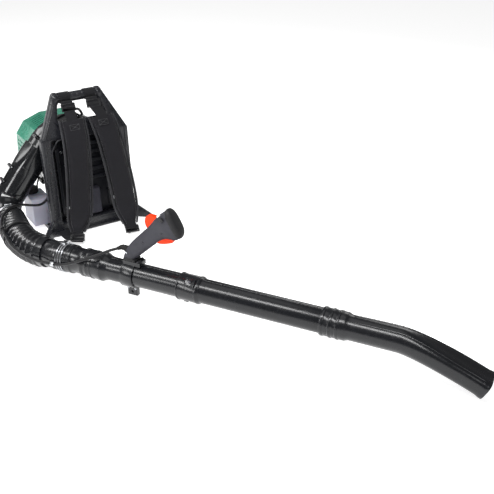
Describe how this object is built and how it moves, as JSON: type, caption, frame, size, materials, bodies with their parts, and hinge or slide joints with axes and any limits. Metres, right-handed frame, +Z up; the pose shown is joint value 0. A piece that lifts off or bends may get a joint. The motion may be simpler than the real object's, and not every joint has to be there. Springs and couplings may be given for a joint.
{
  "type": "petrol backpack leaf blower",
  "caption": "Backpack leaf blower: moulded back frame with padded harness, petrol engine and fan housing, flexible hose, and a swivelling blower pipe with throttle handle and flat nozzle.",
  "frame": {"origin": "on the floor, at the middle of the frame's bottom face", "axes": "+X to the wearer's left along the frame, +Y from the harness side back to the engine, +Z up"},
  "size_m": [0.8433, 1.7556, 0.48],
  "materials": {
    "frame_plastic": "satin moulded black nylon",
    "panel_plastic": "satin black moulded plastic",
    "block_foam": "dark grey moulded foam cover",
    "pad_fabric": "charcoal woven fabric over foam",
    "webbing": "black polyester webbing",
    "buckle_plastic": "black acetal",
    "mount_rubber": "matt black rubber",
    "housing_plastic": "glossy black moulded plastic",
    "screw_steel": "zinc plated steel",
    "cast_aluminium": "as cast aluminium",
    "forged_steel": "ground steel",
    "plug_ceramic": "white glazed ceramic",
    "muffler_steel": "pressed steel, heat darkened",
    "filter_foam": "pleated filter paper",
    "tank_plastic": "translucent grey polyethylene",
    "cover_teal": "teal moulded plastic",
    "cable_sleeve": "corrugated black sleeve",
    "cap_plastic": "black moulded plastic",
    "lever_orange": "orange moulded plastic",
    "primer_clear": "milky soft vinyl",
    "pulley_nylon": "natural nylon",
    "starter_cord": "braided cord",
    "hose_rubber": "corrugated soft black plastic",
    "pipe_plastic": "satin black blow moulded plastic",
    "grip_plastic": "dark grey moulded plastic"
  },
  "bodies": {
    "root": {"back_frame": "frame_plastic", "engine_cradle": "frame_plastic", "carry_handle": "frame_plastic", "back_panel": "panel_plastic", "spine_block": "block_foam", "shoulder_pad_right": "pad_fabric", "shoulder_pad_left": "pad_fabric", "upper_webbing": "webbing", "lower_webbing": "webbing", "ladder_locks": "buckle_plastic", "vibration_mounts": "mount_rubber", "volute_front": "housing_plastic", "volute_rear": "housing_plastic", "housing_screws": "screw_steel", "inlet_guard": "buckle_plastic", "outlet_duct": "housing_plastic", "elbow_clamp": "screw_steel", "crankcase": "cast_aluminium", "main_bearings": "screw_steel", "cylinder": "cast_aluminium", "piston": "cast_aluminium", "con_rod": "forged_steel", "spark_plug": "plug_ceramic", "ignition_coil": "buckle_plastic", "muffler": "muffler_steel", "carburettor": "cast_aluminium", "air_filter": "filter_foam", "filter_cover": "buckle_plastic", "fuel_tank": "tank_plastic", "fuel_lines": "mount_rubber", "engine_cover": "cover_teal", "starter_cover": "cover_teal", "throttle_cable_rear": "cable_sleeve", "hose_rear": "hose_rubber"},
    "rotor": {"crankshaft": "forged_steel", "flywheel": "cast_aluminium", "impeller": "buckle_plastic"},
    "starter_pulley_body": {"starter_pulley": "pulley_nylon"},
    "starter_grip": {"starter_handle": "cap_plastic", "starter_rope": "starter_cord"},
    "fuel_cap_body": {"fuel_cap": "cap_plastic"},
    "choke_body": {"choke_lever": "lever_orange"},
    "primer_body": {"primer_bulb": "primer_clear"},
    "throttle_arm_body": {"throttle_arm": "cast_aluminium"},
    "hose_middle": {"hose_clip": "buckle_plastic", "hose_front": "hose_rubber", "throttle_cable_front": "cable_sleeve"},
    "cuff": {"hose_cuff": "pipe_plastic", "cuff_clamp": "screw_steel"},
    "pipe": {"pipe_inner": "pipe_plastic", "pipe_outer": "pipe_plastic", "nozzle": "pipe_plastic", "grip_clamp": "pipe_plastic", "pipe_screws": "screw_steel", "handle_shell_right": "grip_plastic", "handle_shell_left": "grip_plastic", "throttle_cable_tail": "cable_sleeve"},
    "trigger": {"throttle_trigger": "lever_orange"},
    "lock": {"throttle_lock": "lever_orange"},
    "stop": {"stop_switch": "cap_plastic"}
  },
  "joints": [
    {"name": "crank_spin", "type": "hinge", "parent": "root", "child": "rotor", "pos_m": [-0.012, 0.2, 0.214], "axis": [0, 1, 0], "continuous": true},
    {"name": "starter_pull", "type": "slide", "parent": "root", "child": "starter_grip", "axis": [1, 0, 0], "range_m": [0, 0.45], "stiffness_N_per_m": 20, "deforming": ["starter_rope"]},
    {"name": "starter_spin", "type": "hinge", "parent": "root", "child": "starter_pulley_body", "pos_m": [-0.012, 0.272, 0.214], "axis": [0, 1, 0], "range_deg": [0, 1040]},
    {"name": "fuel_cap_turn", "type": "hinge", "parent": "root", "child": "fuel_cap_body", "pos_m": [-0.166, 0.152, 0.118], "axis": [0, 0, 1], "range_deg": [0, 540]},
    {"name": "choke_swing", "type": "hinge", "parent": "root", "child": "choke_body", "pos_m": [0.054, 0.201, 0.23], "axis": [0, 0, 1], "range_deg": [0, 60]},
    {"name": "primer_push", "type": "slide", "parent": "root", "child": "primer_body", "axis": [0, -1, 0], "range_m": [0, 0.005], "stiffness_N_per_m": 400},
    {"name": "throttle_turn", "type": "hinge", "parent": "root", "child": "throttle_arm_body", "pos_m": [0.048, 0.2, 0.296], "axis": [0, 0, 1], "range_deg": [0, 54]},
    {"name": "hose_swing", "type": "hinge", "parent": "root", "child": "hose_middle", "pos_m": [-0.304, -0.04, 0.097], "axis": [0, 0, 1], "range_deg": [-45, 20], "deforming": ["hose_rear", "throttle_cable_rear"]},
    {"name": "hose_lift", "type": "hinge", "parent": "hose_middle", "child": "cuff", "pos_m": [-0.308, -0.217, 0.109], "axis": [-0.98, -0.199, 0], "range_deg": [-12, 35], "deforming": ["hose_front", "throttle_cable_front"]},
    {"name": "pipe_turn", "type": "hinge", "parent": "cuff", "child": "pipe", "pos_m": [-0.15, -0.495, 0.112], "axis": [0.5358, -0.8443, 0], "range_deg": [-40, 40], "deforming": ["throttle_cable_tail"]},
    {"name": "trigger_pull", "type": "hinge", "parent": "pipe", "child": "trigger", "pos_m": [-0.0436, -0.6627, 0.28265], "axis": [0.8443, 0.5358, 0], "range_deg": [0, 16], "stiffness_Nm_per_rad": 1.5},
    {"name": "lock_press", "type": "hinge", "parent": "pipe", "child": "lock", "pos_m": [-0.0584, -0.6394, 0.3034], "axis": [-0.8443, -0.5358, 0], "range_deg": [0, 10], "stiffness_Nm_per_rad": 1},
    {"name": "stop_slide", "type": "slide", "parent": "pipe", "child": "stop", "axis": [0.3919, -0.6175, 0.682], "range_m": [0, 0.006]}
  ],
  "couplings": [
    {"joint": "starter_spin", "follows": "starter_pull", "rad_per_m": 40},
    {"joint": "throttle_turn", "follows": "trigger_pull", "ratio": 3}
  ]
}
